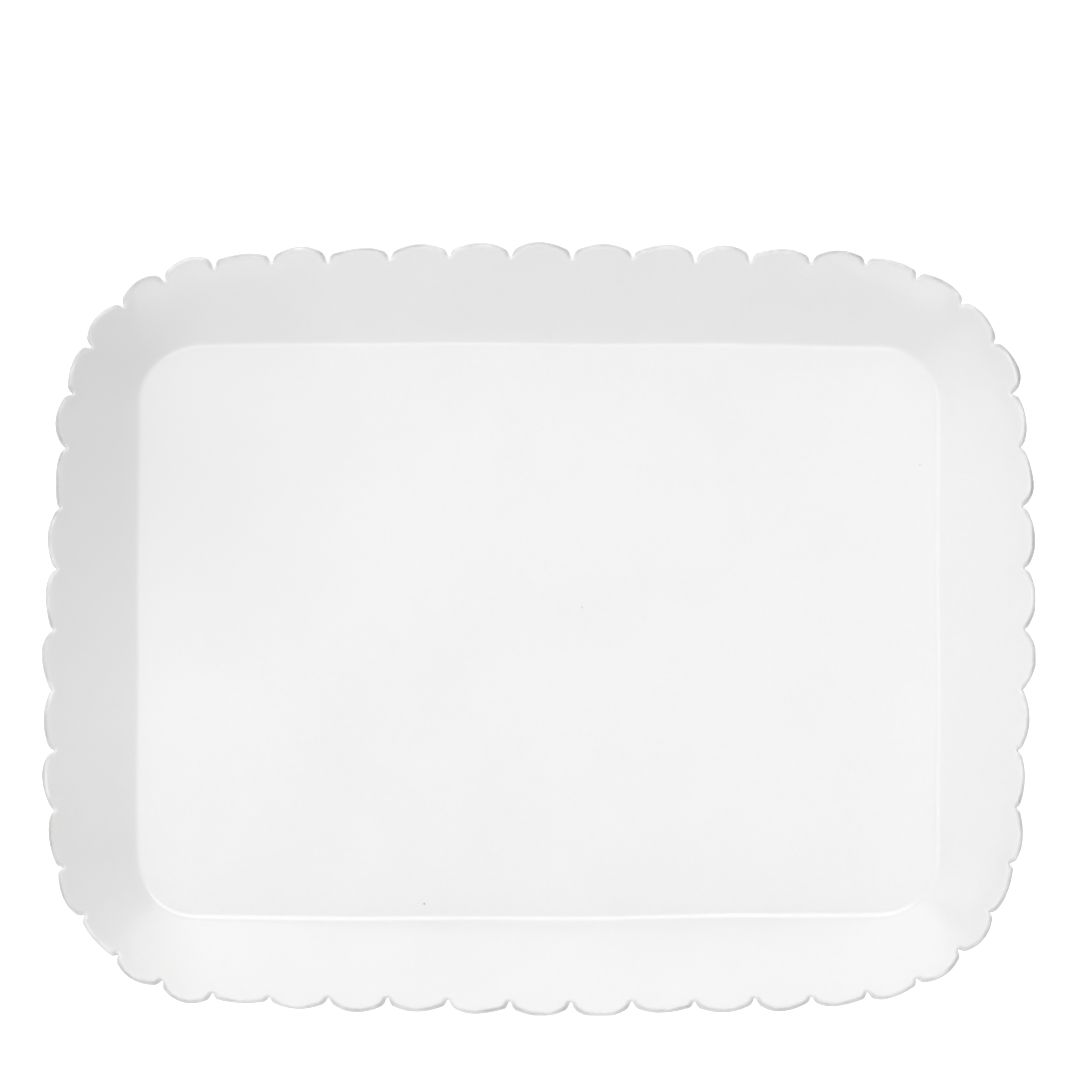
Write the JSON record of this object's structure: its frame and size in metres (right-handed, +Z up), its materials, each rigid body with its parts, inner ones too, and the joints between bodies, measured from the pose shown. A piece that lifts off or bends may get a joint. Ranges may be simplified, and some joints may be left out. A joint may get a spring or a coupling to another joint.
{
  "type": "china serving platter",
  "caption": "Oblong white china serving platter with a flat sunken well, a sloping rim with a scalloped edge and a foot ring.",
  "frame": {"origin": "on the table, under the middle of the platter's bounding box", "axes": "+X along the platter's length, +Y along its width, +Z up out of the well"},
  "size_m": [0.4098, 0.32, 0.033],
  "materials": {
    "clay_body": "fired grey-brown clay body, matt, hidden under the glaze",
    "bare_foot": "fired clay, matt, bare on the face that stands on the table",
    "face_glaze": "glossy white glaze, thin and greyish on the crests and notches of the scalloped edge, a few pinholes",
    "back_glaze": "glossy white glaze, slightly thinner than on the face"
  },
  "bodies": {
    "root": {"well_floor": "clay_body", "rim": "clay_body", "seam_coil": "clay_body", "foot_ring": "bare_foot", "face_glaze": "face_glaze", "back_glaze": "back_glaze", "base_glaze": "back_glaze"}
  },
  "joints": []
}
